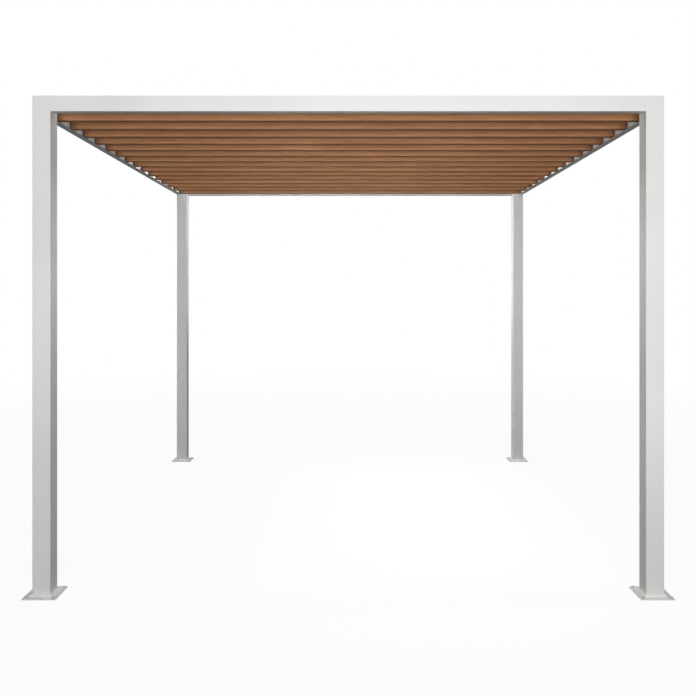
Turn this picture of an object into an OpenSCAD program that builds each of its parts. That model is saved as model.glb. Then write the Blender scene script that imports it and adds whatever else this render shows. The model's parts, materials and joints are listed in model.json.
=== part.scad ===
// Free-standing flat-roofed garden pergola: four square posts on base plates carry a ring of
// four rectangular beams, and a row of slats hangs between the two side beams.
// Millimetres. X runs along the slats, Y from the front to the back, Z up.
// The origin is on the ground, below the centre of the roof.

/* [Frame] */
// Outside width over the faces of the posts, along the slats
frame_w = 3000; // [1800:10:4200]
// Outside depth over the faces of the posts, across the slats
frame_d = 3000; // [1800:10:4200]
// Height from the ground to the top of the posts
frame_h = 2381; // [1900:1:2800]

/* [Posts] */
// Width of a square post
post_w = 86; // [70:1:120]
// Wall of a post
post_wall = 2.4; // [1.6:0.1:4]
// Radius of a post's outer corners
post_round = 3; // [1:0.5:6]
// Thickness of the cap that closes a post
cap_t = 3; // [2:0.5:6]
// Depth of the ribs by which the cap grips the post
cap_rib_h = 18; // [8:1:40]
// Wall of the cap's ribs
cap_rib_t = 2; // [1:0.5:4]
// Chamfer round the top edges of the caps and the base plates
edge_cut = 0.8; // [0.4:0.1:0.9]

/* [Base plates] */
// How far a base plate reaches past the post on each side
plate_margin = 37; // [30:1:60]
// Thickness of a base plate at its edge
plate_t = 4; // [3:0.5:8]
// Radius of a base plate's corners
plate_round = 4; // [1:0.5:10]
// Height of the collar round the foot of the post, above the plate
collar_h = 11; // [6:0.5:30]
// How far the foot of the collar reaches past the post
collar_foot = 12; // [8:0.5:16]
// How far the top edge of the collar reaches past the post
collar_lip = 2; // [1:0.5:4]
// Height of the socket inside the post
socket_h = 60; // [30:1:120]
// Wall of the socket inside the post
socket_wall = 4; // [2:0.5:8]
// Distance of an anchor hole's centre from the plate's edge
hole_inset = 14; // [12:0.5:16]
// Diameter of an anchor hole
hole_d = 9; // [6:0.5:10]

/* [Beams] */
// Height of a beam
beam_h = 75; // [50:1:120]
// Thickness of a beam
beam_t = 43; // [30:1:60]
// Wall of a beam
beam_wall = 2; // [1.5:0.1:4]
// Radius of a beam's outer corners
beam_round = 2; // [1:0.5:4]

/* [Slats] */
// Height of a slat
slat_h = 80; // [50:1:90]
// Thickness of a slat
slat_t = 40; // [26:1:50]
// Wall of a slat
slat_wall = 1.6; // [1.2:0.1:3]
// Radius of a slat's corners
slat_round = 4; // [3:0.5:10]
// Depth of a slat's top face below the top of the posts
slat_drop = 0; // [0:1:20]

/* [Slat ends] */
// Length of the end piece between a slat and the side beam
end_len = 12; // [10:1:60]
// Radius by which an end piece curves up to the beam
end_round = 9; // [4:1:9]
// Length of the spigot that enters the slat
spigot_len = 24; // [10:1:60]
// Wall of the spigot
spigot_wall = 2.5; // [1.5:0.5:6]
// Thickness of the end piece's closed side, against the beam
end_floor = 5; // [4:0.5:8]

/* [Hidden] */
// Gap between a piece and the piece that it is pushed into
fit_gap = 0.2;
// Distance by which a cut runs past the face that it opens
over = 1;
// Number of slats, each with a name of its own below
slat_n = 15;
$fn = 48;

post_x = frame_w / 2 - post_w / 2;
post_y = frame_d / 2 - post_w / 2;
post_h = frame_h - cap_t - plate_t;
plate_w = post_w + 2 * plate_margin;
hole_pitch = plate_w - 2 * hole_inset;
beam_z = frame_h - beam_h;
side_inner_x = frame_w / 2 - beam_t;
slat_pitch = frame_d / (slat_n + 1);
slat_z = frame_h - slat_drop - slat_h;
slat_len = 2 * (side_inner_x - end_len);

// Rectangle with round corners, centred on the origin
module round_rect(w, h, r) {
    square([w - 2 * r, h], center = true);
    square([w, h - 2 * r], center = true);
    for (x = [-1, 1], y = [-1, 1])
        translate([x * (w / 2 - r), y * (h / 2 - r)])
            circle(r);
}

// Outline of a tube: a round-cornered rectangle with an even wall
module tube_section(w, h, r, wall) {
    difference() {
        round_rect(w, h, r);
        round_rect(w - 2 * wall, h - 2 * wall, max(r - wall, 0.4));
    }
}

// Square plate on the ground plane, with round corners in plan and a chamfer round its top
module chamfered_plate(w, t, r) {
    intersection() {
        linear_extrude(t)
            round_rect(w, w, r);
        chamfer_side(w, t);
        rotate([0, 0, 90])
            chamfer_side(w, t);
    }
}

// Side view of a chamfered plate, extruded along Y and past the plate on every other side
module chamfer_side(w, t) {
    low = [w / 2 + over, t - edge_cut - over];
    high = [w / 2 - edge_cut - over, t + over];
    rotate([90, 0, 0])
        linear_extrude(w + 2 * over, center = true)
            polygon([[-low.x, -over], [low.x, -over], low, high, [-high.x, high.y], [-low.x, low.y]]);
}

// Moves its children from the centre of the ground plan to a corner post
module at_corner(x, y) {
    translate([x * post_x, y * post_y, 0])
        children();
}

// Square tube that stands on its base plate
module post() {
    color("whitesmoke")
        translate([0, 0, plate_t])
            linear_extrude(post_h)
                tube_section(post_w, post_w, post_round, post_wall);
}

// Flat lid with ribs that grip the inside of the post
module cap() {
    rib_w = post_w - 2 * (post_wall + fit_gap);
    color("whitesmoke") {
        translate([0, 0, frame_h - cap_t])
            chamfered_plate(post_w, cap_t, post_round);
        translate([0, 0, frame_h - cap_t - cap_rib_h])
            linear_extrude(cap_rib_h)
                tube_section(rib_w, rib_w, 1, cap_rib_t);
    }
}

// Plate with a sloping collar round the post, a socket inside it and four anchor holes
module base() {
    socket_w = post_w - 2 * (post_wall + fit_gap);
    color("whitesmoke") {
        difference() {
            chamfered_plate(plate_w, plate_t, plate_round);
            for (x = [-1, 1], y = [-1, 1])
                translate([x * hole_pitch / 2, y * hole_pitch / 2, -over])
                    cylinder(d = hole_d, h = plate_t + 2 * over);
        }
        translate([0, 0, plate_t])
            linear_extrude(socket_h)
                tube_section(socket_w, socket_w, 1, socket_wall);
        collar();
    }
}

// Ring of four sloping sides round the foot of the post
module collar() {
    seat = post_w / 2 + fit_gap;
    foot = seat + collar_foot;
    lip = seat + collar_lip;
    top = plate_t + collar_h;
    for (a = [0:90:270])
        rotate([0, 0, a])
            intersection() {
                rotate([90, 0, 0])
                    linear_extrude(2 * foot, center = true)
                        polygon([[seat, plate_t], [foot, plate_t], [lip, top], [seat, top]]);
                linear_extrude(top)
                    polygon([[0, 0], [foot, -foot], [foot, foot]]);
            }
}

// Hollow beam of the given length, lying along X, its underside on the ground plane
module beam(len) {
    color("whitesmoke")
        rotate([90, 0, 90])
            linear_extrude(len, center = true)
                translate([0, beam_h / 2])
                    tube_section(beam_t, beam_h, beam_round, beam_wall);
}

// Front or back beam, between the posts and flush with their outer faces
module cross_beam(side) {
    translate([0, side * (frame_d / 2 - beam_t / 2), beam_z])
        beam(frame_w - 2 * post_w);
}

// Left or right beam, between the posts and flush with their outer faces
module side_beam(side) {
    translate([side * (frame_w / 2 - beam_t / 2), 0, beam_z])
        rotate([0, 0, 90])
            beam(frame_d - 2 * post_w);
}

// Place across the roof of the slat with the given number, counted from the front
function slat_y(i) = -frame_d / 2 + i * slat_pitch;

// Hollow slat with round corners
module slat(i) {
    color("peru")
        translate([0, slat_y(i), slat_z + slat_h / 2])
            rotate([90, 0, 90])
                linear_extrude(slat_len, center = true)
                    tube_section(slat_t, slat_h, slat_round, slat_wall);
}

// Moulded piece that ties a slat's end to the side beam. It has the slat's outline and a spigot
// that enters the slat, is hollow from there, and its lower edge curves up to the beam.
module slat_end() {
    rib_gap = slat_wall + fit_gap;
    hollow_gap = rib_gap + spigot_wall;
    difference() {
        union() {
            intersection() {
                along_x(0, end_len)
                    round_rect(slat_t, slat_h, slat_round);
                rotate([90, 0, 0])
                    linear_extrude(slat_t + 2 * over, center = true)
                        end_side_outline();
            }
            along_x(end_len, spigot_len)
                round_rect(slat_t - 2 * rib_gap, slat_h - 2 * rib_gap, max(slat_round - rib_gap, 1));
        }
        along_x(end_floor, end_len - end_floor + spigot_len + over)
            round_rect(slat_t - 2 * hollow_gap, slat_h - 2 * hollow_gap, 1);
    }
}

// Extrudes an outline along X, its middle at half the slat's height
module along_x(start, len) {
    translate([start, 0, slat_h / 2])
        rotate([90, 0, 90])
            linear_extrude(len)
                children();
}

// Side view of an end piece, with its lower corner at the beam rounded
module end_side_outline() {
    translate([end_round, 0])
        square([end_len - end_round, slat_h]);
    translate([0, end_round])
        square([end_len, slat_h - end_round]);
    translate([end_round, end_round])
        circle(end_round);
}

// The end pieces along one side beam
module slat_ends(side) {
    color("saddlebrown")
        for (i = [1:slat_n])
            translate([side * side_inner_x, slat_y(i), slat_z])
                rotate([0, 0, side > 0 ? 180 : 0])
                    slat_end();
}

at_corner(-1, -1) post();  // post_front_left
at_corner(1, -1) post();  // post_front_right
at_corner(-1, 1) post();  // post_back_left
at_corner(1, 1) post();  // post_back_right
at_corner(-1, -1) base();  // base_front_left
at_corner(1, -1) base();  // base_front_right
at_corner(-1, 1) base();  // base_back_left
at_corner(1, 1) base();  // base_back_right
at_corner(-1, -1) cap();  // cap_front_left
at_corner(1, -1) cap();  // cap_front_right
at_corner(-1, 1) cap();  // cap_back_left
at_corner(1, 1) cap();  // cap_back_right
cross_beam(-1);  // beam_front
cross_beam(1);  // beam_back
side_beam(-1);  // beam_left
side_beam(1);  // beam_right
slat(1);  // slat_01
slat(2);  // slat_02
slat(3);  // slat_03
slat(4);  // slat_04
slat(5);  // slat_05
slat(6);  // slat_06
slat(7);  // slat_07
slat(8);  // slat_08
slat(9);  // slat_09
slat(10);  // slat_10
slat(11);  // slat_11
slat(12);  // slat_12
slat(13);  // slat_13
slat(14);  // slat_14
slat(15);  // slat_15
slat_ends(-1);  // slat_ends_left
slat_ends(1);  // slat_ends_right
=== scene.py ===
"""Looks of a free-standing garden pergola with a wood-effect slatted roof.

Metres, in the model's own frame: X along the slats, Y from the front to the back, Z up, with the
origin on the ground below the centre of the roof.
"""
import json
import math

import bmesh
import bpy
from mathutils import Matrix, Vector


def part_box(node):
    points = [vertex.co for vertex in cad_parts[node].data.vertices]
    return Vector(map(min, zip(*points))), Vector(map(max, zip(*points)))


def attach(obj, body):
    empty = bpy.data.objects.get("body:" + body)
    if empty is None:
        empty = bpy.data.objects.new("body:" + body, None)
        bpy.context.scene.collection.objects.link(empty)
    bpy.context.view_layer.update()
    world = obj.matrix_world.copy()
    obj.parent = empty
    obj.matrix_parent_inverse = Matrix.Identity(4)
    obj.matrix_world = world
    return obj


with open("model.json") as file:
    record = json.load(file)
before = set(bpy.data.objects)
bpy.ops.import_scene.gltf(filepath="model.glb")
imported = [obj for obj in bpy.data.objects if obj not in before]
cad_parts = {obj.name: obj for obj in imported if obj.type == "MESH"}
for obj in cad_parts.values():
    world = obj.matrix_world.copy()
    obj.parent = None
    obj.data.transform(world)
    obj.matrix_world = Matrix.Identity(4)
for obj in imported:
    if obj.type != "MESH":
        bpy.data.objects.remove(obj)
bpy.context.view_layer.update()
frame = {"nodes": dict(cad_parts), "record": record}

MM = 0.001

# Camera, worked out from the vanishing lines of the picture that it matches
IMAGE_PX = 696
FOCAL_PX = 744.5
AXIS_PX = (352.0, 295.7)
SENSOR_MM = 36.0
CAMERA_AT = (0.018, -5.033, 1.4305)

# Linear colours of the finishes
PAINT_WHITE = (0.80, 0.80, 0.785)
PAINT_SHADE = (0.74, 0.742, 0.73)
# Colour of the dust at the feet, and also of the painted shade that darkens the posts towards the ground
PAINT_DUST_AND_SHADE = (0.555, 0.552, 0.538)
WOOD_LIGHT = (0.540, 0.272, 0.136)
WOOD_MID = (0.440, 0.207, 0.098)
WOOD_DARK = (0.290, 0.123, 0.054)
WOOD_LINE = (0.190, 0.073, 0.030)
# Colour of the painted shade at the slats' ends
WOOD_END_SHADE = (0.200, 0.086, 0.040)
END_BROWN = (0.150, 0.066, 0.034)
END_DARK = (0.085, 0.038, 0.020)
STEEL = (0.62, 0.61, 0.59)
STEEL_DARK = (0.42, 0.41, 0.40)

# Roughness of the finishes, from the smoothest spots to the roughest
PAINT_ROUGHNESS = (0.34, 0.44)
WOOD_ROUGHNESS = (0.60, 0.75)
END_ROUGHNESS = (0.52, 0.66)
STEEL_ROUGHNESS = (0.28, 0.48)
PAINT_SPECULAR = 0.35
WOOD_SPECULAR = 0.15

# Values that a noise keeps to: nearly all of them, and the upper part that makes patches
MOST = (0.3, 0.7)
PATCHES = (0.35, 0.70)

# Powder coat: scales of its textures in waves per metre, and their depths
CLOUD_SCALE = 2.2
GLOSS_SCALE = 9.0
PEEL_SCALE = 260.0
PEEL_DEPTH = 0.10 * MM
SPECK_SCALE = 420.0
SPECK_DEPTH = 0.04 * MM

# Painted shade that darkens the posts towards the ground: the height that it ends at, and its share of
# the colour at the ground
PAINTED_SHADE_TOP = 0.9
PAINTED_SHADE_SHARE = 0.30

# Dust at the feet, between two heights that a slow noise lowers by up to its raggedness
DUST_END = 0.05
DUST_FULL = -0.03
DUST_RAGGED = 0.06
DUST_EDGE_SCALE = 26.0
DUST_SCALE = 60.0
DUST_PATCHES = (0.35, 0.75)
DUST_SHARE = 0.45
DUST_ROUGHER = 0.25

# Wood grain: how each texture is squeezed along X, Y and Z, its scale, and the noise values that show
BAND_SQUEEZE = (0.9, 14.0, 14.0)
BAND_SCALE = 2.0
BAND_VALUES = (0.34, 0.68)
FIBRE_SQUEEZE = (2.0, 120.0, 120.0)
FIBRE_SCALE = 2.4
FIBRE_VALUES = (0.44, 0.74)
FIBRE_SHARE = 0.75
FIBRE_DEPTH = 0.25 * MM
VEIN_SQUEEZE = (1.2, 60.0, 60.0)
VEIN_SCALE = 2.2
LINE_WIDTH = 0.018
LINE_SHARE = 0.45
LINE_DEPTH = 0.15 * MM
TONE_SHARE = 0.22

# Painted shade at each end of a slat, beside the posts and side beams: the stretch over which a slat
# darkens, how ragged its start is, and its share of the colour
END_SHADE_LEN = 40.0 * MM
END_SHADE_RAGGED = 6.0 * MM
END_SHADE_SHARE = 0.75

# Moulded plastic and steel
MOULD_CLOUD_SCALE = 35.0
MOULD_GLOSS_SCALE = 90.0
MOULD_GRAIN_SCALE = 900.0
MOULD_GRAIN_DEPTH = 0.12 * MM
STEEL_PATCH_SCALE = 150.0
BRUSH_SQUEEZE = (1.0, 6.0, 1.0)
BRUSH_SCALE = 700.0
BRUSH_DEPTH = 0.05 * MM

# Anchor screws in the base plates
PLATE_T = 4.0 * MM
WASHER_R = 8.0 * MM
WASHER_T = 1.4 * MM
WASHER_EDGE = 0.35 * MM
HEAD_R = 5.8 * MM
HEAD_H = 4.2 * MM
HEAD_EDGE = 1.0 * MM
HEAD_BEND_IN = 0.4 * MM
HEAD_BEND_DOWN = 0.3 * MM
SOCKET_R = 2.6 * MM
SOCKET_DEPTH = 2.4 * MM
SOCKET_EDGE = 0.3 * MM
SOCKET_CONE = 0.5 * MM
SOCKET_CORNERS = 6
SHANK_R = 3.6 * MM
SHANK_TIP = 0.3 * MM
SCREW_SIDES = 36
SMOOTH_DEGREES = 35

# Floor: its tone to the camera and to the light it bounces up, and the share of plain white over it
FLOOR_REACH = 30.0
FLOOR_DROP = 0.5 * MM
FLOOR_PALE = (0.80, 0.80, 0.80)
FLOOR_BOUNCE = (0.10, 0.10, 0.099)
FLOOR_WHITE = 1.0
FLOOR_LIFT = 0.92
FLOOR_MIRRORED = 0.15

# Distances from the middle of the floor between which the share of white rises to all of it
LIFT_NEAR = 2.0
LIFT_FAR = 9.0

# Surround: its level as a fill and in reflections
WORLD_WHITE = (1.0, 1.0, 1.0)
WORLD_FILL = 0.21
WORLD_MIRRORED = 0.5

# Softboxes as place, point aimed at, width and height in metres, watts and spread in degrees
SOFTBOXES = {
    "front": ((0.4, -6.6, 1.65), (0.4, 0.0, 1.65), (4.4, 1.6), 110.0, 120.0),
    "front_top": ((-0.3, -5.5, 6.5), (0.0, 0.0, 2.2), (3.5, 2.0), 24.0, 120.0),
    "roof": ((0.0, -5.8, 0.9), (0.0, 1.5, 2.1), (1.6, 0.5), 1.2, 20.0),
    "left": ((-7.0, 0.0, 2.0), (0.0, 0.0, 1.3), (3.5, 2.5), 32.0, 140.0),
    "far_left": ((-5.0, 2.0, 1.5), (1.4, 1.5, 1.2), (1.6, 2.5), 18.0, 50.0),
    "right": ((7.0, 0.0, 2.0), (0.0, 0.0, 1.3), (3.5, 2.5), 8.0, 140.0),
    "right_slope": ((4.6, 0.0, 5.6), (1.5, 0.0, 1.4), (3.0, 0.5), 12.0, 20.0),
    "back": ((0.0, 7.0, 2.2), (0.0, 0.0, 1.4), (4.0, 2.5), 34.0, 140.0),
    "onto_left_beam": ((5.2, 0.7, 4.4), (-1.46, 0.7, 2.34), (1.3, 0.4), 2.6, 9.0),
    "onto_right_beam": ((-5.2, 0.7, 4.4), (1.46, 0.7, 2.34), (1.3, 0.4), 2.2, 9.0),
    "top": ((0.0, 0.0, 6.5), (0.0, 0.0, 0.0), (4.0, 4.0), 106.0, 140.0),
}

CORNERS = ("front_left", "front_right", "back_left", "back_right")
record = frame["record"]
nodes = frame["nodes"]


# Material helpers

def add_node(tree, kind, inputs=(), **settings):
    """Adds a shader node, with its settings, and its inputs as (index or name, value or socket)."""
    made = tree.nodes.new(kind)
    for name, value in settings.items():
        setattr(made, name, value)
    for key, value in inputs:
        if isinstance(value, bpy.types.NodeSocket):
            tree.links.new(value, made.inputs[key])
        else:
            made.inputs[key].default_value = value
    return made


def rgba(colour):
    """The colour with full opacity, as sockets want it."""
    return (*colour, 1.0)


def combine(tree, operation, a, b=0.0, clamp=False):
    """Arithmetic on two numbers, either of which may be a socket."""
    made = add_node(tree, "ShaderNodeMath", [(0, a), (1, b)], operation=operation, use_clamp=clamp)
    return made.outputs[0]


def spread(tree, value, low, high, to_low=0.0, to_high=1.0):
    """Maps a number from one range to another, and holds it at the ends."""
    made = add_node(tree, "ShaderNodeMapRange",
                    [(0, value), (1, low), (2, high), (3, to_low), (4, to_high)])
    return made.outputs[0]


def blend_colour(tree, share, a, b):
    """Colour between a and b; each of the two may be a colour or a socket."""
    sides = [(key, side if isinstance(side, bpy.types.NodeSocket) else rgba(side))
             for key, side in ((6, a), (7, b))]
    made = add_node(tree, "ShaderNodeMix", [(0, share), *sides], data_type="RGBA")
    return made.outputs[2]


def model_point(tree):
    """The shaded point in the model's own frame, as one vector."""
    return add_node(tree, "ShaderNodeTexCoord").outputs["Object"]


def model_axes(tree):
    """The shaded point in the model's own frame, as three numbers."""
    return add_node(tree, "ShaderNodeSeparateXYZ", [(0, model_point(tree))]).outputs


def place(tree, squeeze=(1.0, 1.0, 1.0)):
    """Coordinates in the model's own frame, squeezed along each axis by the given factors."""
    where = model_point(tree)
    return add_node(tree, "ShaderNodeMapping", [("Vector", where), ("Scale", squeeze)]).outputs[0]


def noise(tree, vector, scale, detail=3.0, roughness=0.5, distortion=0.0):
    """Smooth noise from 0 to 1, with the given number of waves per metre."""
    made = add_node(tree, "ShaderNodeTexNoise",
                    [("Vector", vector), ("Scale", scale), ("Detail", detail),
                     ("Roughness", roughness), ("Distortion", distortion)])
    return made.outputs[0]


def bump(tree, height, distance, strength=1.0, below=None):
    """Normal from a height; it may lie on top of another bump."""
    inputs = [("Height", height), ("Distance", distance), ("Strength", strength)]
    if below is not None:
        inputs.append(("Normal", below))
    return add_node(tree, "ShaderNodeBump", inputs).outputs[0]


def new_material(name):
    """A material with a Principled shader; returns the material, its tree and the shader."""
    material = bpy.data.materials.new(name)
    material.use_nodes = True
    tree = material.node_tree
    return material, tree, tree.nodes["Principled BSDF"]


# Materials

def frame_paint():
    """White powder coat: fine orange peel, faint clouds, painted shade that darkens it towards the
    ground, and dust at the feet.
    """
    material, tree, shader = new_material("white_powder_coat")
    even = place(tree)
    height = model_axes(tree)["Z"]
    cloud = noise(tree, even, CLOUD_SCALE, detail=4.0)
    paint = blend_colour(tree, spread(tree, cloud, *PATCHES), PAINT_WHITE, PAINT_SHADE)
    # Painted shade: the paint darkens towards the ground
    painted_shade = spread(tree, height, 0.0, PAINTED_SHADE_TOP, PAINTED_SHADE_SHARE, 0.0)
    paint = blend_colour(tree, painted_shade, paint, PAINT_DUST_AND_SHADE)

    lowered = combine(tree, "MULTIPLY", noise(tree, even, DUST_EDGE_SCALE), -DUST_RAGGED)
    ragged = combine(tree, "ADD", height, lowered)
    dust_patches = spread(tree, noise(tree, even, DUST_SCALE, detail=5.0), *DUST_PATCHES)
    dust = combine(tree, "MULTIPLY", spread(tree, ragged, DUST_END, DUST_FULL), dust_patches, clamp=True)
    # The paint, with its painted shade towards the ground, and the dust at the feet over it
    dusty_and_shaded = blend_colour(tree, combine(tree, "MULTIPLY", dust, DUST_SHARE), paint, PAINT_DUST_AND_SHADE)
    tree.links.new(dusty_and_shaded, shader.inputs["Base Color"])

    gloss = spread(tree, noise(tree, even, GLOSS_SCALE), *MOST, *PAINT_ROUGHNESS)
    rough = combine(tree, "ADD", gloss, combine(tree, "MULTIPLY", dust, DUST_ROUGHER))
    tree.links.new(rough, shader.inputs["Roughness"])
    shader.inputs["Specular IOR Level"].default_value = PAINT_SPECULAR

    peel = bump(tree, noise(tree, even, PEEL_SCALE, detail=1.0), PEEL_DEPTH, 0.5)
    speck = noise(tree, even, SPECK_SCALE, detail=2.0)
    tree.links.new(bump(tree, speck, SPECK_DEPTH, 0.5, peel), shader.inputs["Normal"])
    return material


def slat_wood(slats):
    """Printed wood grain on aluminium: long fibres, broad bands and thin dark lines along X, with
    painted shade at the slats' ends.
    """
    material, tree, shader = new_material("wood_effect_slats")
    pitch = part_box(slats[1])[0][1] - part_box(slats[0])[0][1]
    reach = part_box(slats[0])[1][0]
    x, y, _ = model_axes(tree)
    band = noise(tree, place(tree, BAND_SQUEEZE), BAND_SCALE, detail=3.0, distortion=0.6)
    fibre = noise(tree, place(tree, FIBRE_SQUEEZE), FIBRE_SCALE, detail=6.0, roughness=0.62)
    vein = noise(tree, place(tree, VEIN_SQUEEZE), VEIN_SCALE, detail=4.0, distortion=1.2)
    wood = blend_colour(tree, spread(tree, band, *BAND_VALUES), WOOD_LIGHT, WOOD_MID)
    wood = blend_colour(tree, spread(tree, fibre, *FIBRE_VALUES, 0.0, FIBRE_SHARE), wood, WOOD_DARK)

    # A line runs where the vein's noise passes its middle value
    off_middle = combine(tree, "ABSOLUTE", combine(tree, "SUBTRACT", vein, 0.5))
    line = spread(tree, off_middle, LINE_WIDTH, 0.0)
    wood = blend_colour(tree, combine(tree, "MULTIPLY", line, LINE_SHARE), wood, WOOD_LINE)

    # Each slat has a tone of its own, drawn from its number
    number = combine(tree, "ROUND", combine(tree, "DIVIDE", y, pitch))
    tone = add_node(tree, "ShaderNodeTexWhiteNoise", [("W", number)], noise_dimensions="1D").outputs[0]
    wood = blend_colour(tree, spread(tree, tone, 0.0, 1.0, 0.0, TONE_SHARE), wood, WOOD_DARK)

    # Painted shade at each end of a slat, where the posts and side beams shade it
    shift = spread(tree, band, *MOST, -END_SHADE_RAGGED, END_SHADE_RAGGED)
    ragged = combine(tree, "ADD", combine(tree, "ABSOLUTE", x), shift)
    end_shade = spread(tree, ragged, reach - END_SHADE_LEN, reach, 0.0, END_SHADE_SHARE)
    wood = blend_colour(tree, end_shade, wood, WOOD_END_SHADE)
    tree.links.new(wood, shader.inputs["Base Color"])

    tree.links.new(spread(tree, fibre, *MOST, *WOOD_ROUGHNESS), shader.inputs["Roughness"])
    shader.inputs["Specular IOR Level"].default_value = WOOD_SPECULAR
    grain = bump(tree, fibre, FIBRE_DEPTH, 0.6)
    tree.links.new(bump(tree, line, -LINE_DEPTH, 0.5, grain), shader.inputs["Normal"])
    return material


def end_plastic():
    """Dark brown moulded plastic with a fine eroded texture."""
    material, tree, shader = new_material("brown_moulded_plastic")
    even = place(tree)
    cloud = spread(tree, noise(tree, even, MOULD_CLOUD_SCALE, detail=4.0), *MOST)
    tree.links.new(blend_colour(tree, cloud, END_BROWN, END_DARK), shader.inputs["Base Color"])
    gloss = spread(tree, noise(tree, even, MOULD_GLOSS_SCALE), *MOST, *END_ROUGHNESS)
    tree.links.new(gloss, shader.inputs["Roughness"])
    grain = noise(tree, even, MOULD_GRAIN_SCALE, detail=2.0)
    tree.links.new(bump(tree, grain, MOULD_GRAIN_DEPTH, 0.7), shader.inputs["Normal"])
    return material


def anchor_steel():
    """Brushed zinc-plated steel of the anchor screws, dulled in patches."""
    material, tree, shader = new_material("anchor_steel")
    patch = noise(tree, place(tree), STEEL_PATCH_SCALE, detail=4.0)
    dulled = blend_colour(tree, spread(tree, patch, *PATCHES), STEEL, STEEL_DARK)
    tree.links.new(dulled, shader.inputs["Base Color"])
    tree.links.new(spread(tree, patch, *MOST, *STEEL_ROUGHNESS), shader.inputs["Roughness"])
    brushed = noise(tree, place(tree, BRUSH_SQUEEZE), BRUSH_SCALE)
    tree.links.new(bump(tree, brushed, BRUSH_DEPTH, 0.6), shader.inputs["Normal"])
    shader.inputs["Metallic"].default_value = 1.0
    return material


def dress(name, material):
    """Gives a node of the model its finish."""
    mesh = nodes[name].data
    mesh.materials.clear()
    mesh.materials.append(material)


# Anchor screws

def ring_reach(radius, corners, angle):
    """Distance from the axis to a ring at an angle, where corners 0 means a round ring."""
    if not corners:
        return radius
    half_side = math.pi / corners
    return radius / math.cos(angle % (2 * half_side) - half_side)


def turn(bm, profile, centre, sides):
    """Revolves a profile of (radius, height, corners) round Z, as a ring for each of its points."""
    rings = []
    for radius, height, corners in profile:
        if radius == 0.0:
            rings.append([bm.verts.new(centre + Vector((0, 0, height)))])
            continue
        ring = []
        for i in range(sides):
            angle = 2 * math.pi * i / sides
            reach = ring_reach(radius, corners, angle)
            step = Vector((reach * math.cos(angle), reach * math.sin(angle), height))
            ring.append(bm.verts.new(centre + step))
        rings.append(ring)
    for low, high in zip(rings, rings[1:]):
        for i in range(sides):
            j = (i + 1) % sides
            face = [low[i % len(low)], low[j % len(low)], high[j % len(high)], high[i % len(high)]]
            bm.faces.new(list(dict.fromkeys(face)))


def anchor_profile(plate_top):
    """Outline of a screw with its washer, from the shank's tip up and round to the socket."""
    seat = plate_top + WASHER_T
    top = seat + HEAD_H
    return [
        (0.0, SHANK_TIP, 0),
        (SHANK_R, SHANK_TIP, 0),
        (SHANK_R, plate_top, 0),
        (WASHER_R, plate_top, 0),
        (WASHER_R, seat - WASHER_EDGE, 0),
        (WASHER_R - WASHER_EDGE, seat, 0),
        (HEAD_R, seat, 0),
        (HEAD_R, top - HEAD_EDGE, 0),
        (HEAD_R - HEAD_BEND_IN, top - HEAD_BEND_DOWN, 0),
        (HEAD_R - HEAD_EDGE, top, 0),
        (SOCKET_R + SOCKET_EDGE, top, SOCKET_CORNERS),
        (SOCKET_R, top - SOCKET_EDGE, SOCKET_CORNERS),
        (SOCKET_R, top - SOCKET_DEPTH, SOCKET_CORNERS),
        (0.0, top - SOCKET_DEPTH - SOCKET_CONE, 0),
    ]


def hole_places(corner):
    """Centres of a base plate's four holes, from the record's bolt pattern."""
    mount = next(m for m in record["mounts"] if m["name"] == f"anchors_{corner}")
    half = Vector((mount["dims"]["spacing_x_mm"], mount["dims"]["spacing_y_mm"])) * MM / 2
    x, y, _ = mount["pos_m"]
    return [Vector((x + i * half.x, y + j * half.y, 0)) for i in (-1, 1) for j in (-1, 1)]


def add_anchors(corner, material):
    """The four anchor screws of one base plate, as one mesh."""
    bm = bmesh.new()
    for centre in hole_places(corner):
        turn(bm, anchor_profile(PLATE_T), centre, SCREW_SIDES)
    bmesh.ops.recalc_face_normals(bm, faces=bm.faces)
    mesh = bpy.data.meshes.new(f"anchors_{corner}")
    bm.to_mesh(mesh)
    bm.free()
    mesh.materials.append(material)
    mesh.shade_smooth()
    mesh.set_sharp_from_angle(angle=math.radians(SMOOTH_DEGREES))
    screws = bpy.data.objects.new(f"anchor_screws_{corner}", mesh)
    bpy.context.collection.objects.link(screws)
    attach(screws, "root")


# Stage, lights and camera

def pale_floor():
    """Near white to the camera, with the soft shadow of the feet.

    The light that it bounces up is held low, so that the undersides of the roof stay dark.
    """
    material = bpy.data.materials.new("pale_floor")
    material.use_nodes = True
    tree = material.node_tree
    tree.nodes.clear()
    path = add_node(tree, "ShaderNodeLightPath")
    tone = blend_colour(tree, path.outputs["Is Camera Ray"], FLOOR_BOUNCE, FLOOR_PALE)
    diffuse = add_node(tree, "ShaderNodeBsdfDiffuse", [("Color", tone)])
    white = add_node(tree, "ShaderNodeEmission", [("Strength", FLOOR_WHITE)])
    mirrored = combine(tree, "MAXIMUM", path.outputs["Is Glossy Ray"],
                       path.outputs["Is Transmission Ray"])
    seen = combine(tree, "MAXIMUM", path.outputs["Is Camera Ray"],
                   combine(tree, "MULTIPLY", mirrored, FLOOR_MIRRORED))
    distance = add_node(tree, "ShaderNodeVectorMath", [(0, model_point(tree))],
                        operation="LENGTH").outputs["Value"]
    lift = spread(tree, distance, LIFT_NEAR, LIFT_FAR, FLOOR_LIFT, 1.0)
    mix = add_node(tree, "ShaderNodeMixShader",
                   [(0, combine(tree, "MULTIPLY", seen, lift)),
                    (1, diffuse.outputs[0]), (2, white.outputs[0])])
    output = add_node(tree, "ShaderNodeOutputMaterial")
    tree.links.new(mix.outputs[0], output.inputs["Surface"])
    return material


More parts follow.
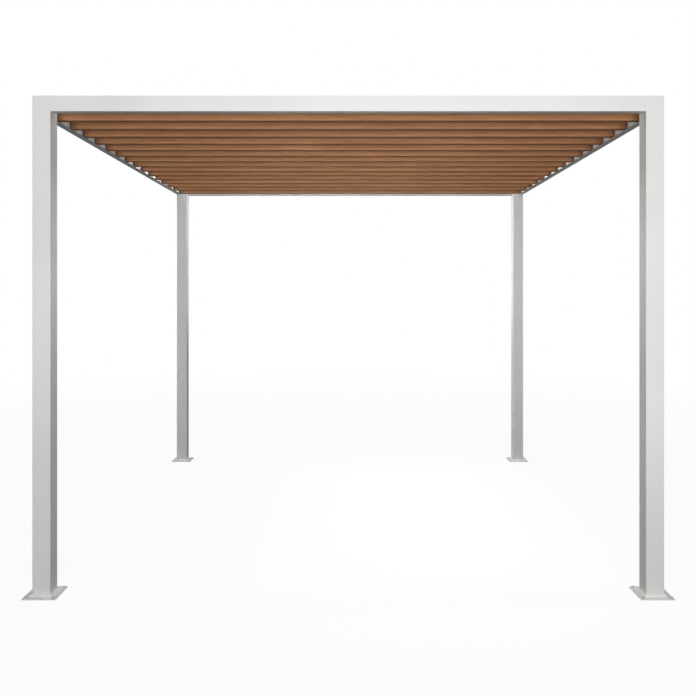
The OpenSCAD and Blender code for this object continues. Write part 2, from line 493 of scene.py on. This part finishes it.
def add_floor():
    """Square floor just below the feet."""
    mesh = bpy.data.meshes.new("floor")
    corners = [(x * FLOOR_REACH, y * FLOOR_REACH, 0) for x, y in ((-1, -1), (1, -1), (1, 1), (-1, 1))]
    mesh.from_pydata(corners, [], [(0, 1, 2, 3)])
    mesh.materials.append(pale_floor())
    floor = bpy.data.objects.new("floor", mesh)
    floor.location.z = -FLOOR_DROP
    bpy.context.collection.objects.link(floor)


def add_world():
    """Even surround: white to the camera, dimmer in reflections and dimmer still as a fill."""
    world = bpy.data.worlds.new("surround")
    bpy.context.scene.world = world
    world.use_nodes = True
    tree = world.node_tree
    tree.nodes.clear()
    path = add_node(tree, "ShaderNodeLightPath")
    mirrored = spread(tree, path.outputs["Is Glossy Ray"], 0.0, 1.0, WORLD_FILL, WORLD_MIRRORED)
    straight = combine(tree, "MAXIMUM", path.outputs["Is Camera Ray"],
                       path.outputs["Is Transmission Ray"])
    level = combine(tree, "MAXIMUM", mirrored, straight)
    light = add_node(tree, "ShaderNodeBackground", [("Color", rgba(WORLD_WHITE)), ("Strength", level)])
    output = add_node(tree, "ShaderNodeOutputWorld")
    tree.links.new(light.outputs[0], output.inputs["Surface"])


def add_softbox(name, place_at, aim, size, watts, spread_degrees):
    """Rectangular soft light that faces the point it is aimed at."""
    data = bpy.data.lights.new(name, "AREA")
    data.shape = "RECTANGLE"
    data.size, data.size_y = size
    data.energy = watts
    data.spread = math.radians(spread_degrees)
    lamp = bpy.data.objects.new(name, data)
    lamp.location = place_at
    lamp.rotation_euler = (Vector(aim) - Vector(place_at)).to_track_quat("-Z", "Y").to_euler()
    bpy.context.collection.objects.link(lamp)


def add_camera():
    """Level camera that looks along Y, shifted so that the picture's axis lies where it should."""
    data = bpy.data.cameras.new("camera")
    data.sensor_width = SENSOR_MM
    data.lens = FOCAL_PX / IMAGE_PX * SENSOR_MM
    data.shift_x = (IMAGE_PX / 2 - AXIS_PX[0]) / IMAGE_PX
    data.shift_y = (AXIS_PX[1] - IMAGE_PX / 2) / IMAGE_PX
    camera = bpy.data.objects.new("camera", data)
    camera.location = CAMERA_AT
    camera.rotation_euler = (math.radians(90), 0, 0)
    bpy.context.collection.objects.link(camera)
    bpy.context.scene.camera = camera


slats = sorted(name for name in nodes if name.removeprefix("slat_").isdigit())
paint = frame_paint()
wood = slat_wood(slats)
plastic = end_plastic()
for name in nodes:
    if name in slats:
        dress(name, wood)
    elif name.startswith("slat_ends"):
        dress(name, plastic)
    else:
        dress(name, paint)

steel = anchor_steel()
for corner in CORNERS:
    add_anchors(corner, steel)

add_floor()
add_world()
for name, setting in SOFTBOXES.items():
    add_softbox(f"{name}_softbox", *setting)
add_camera()
bpy.context.scene.view_settings.view_transform = "Standard"
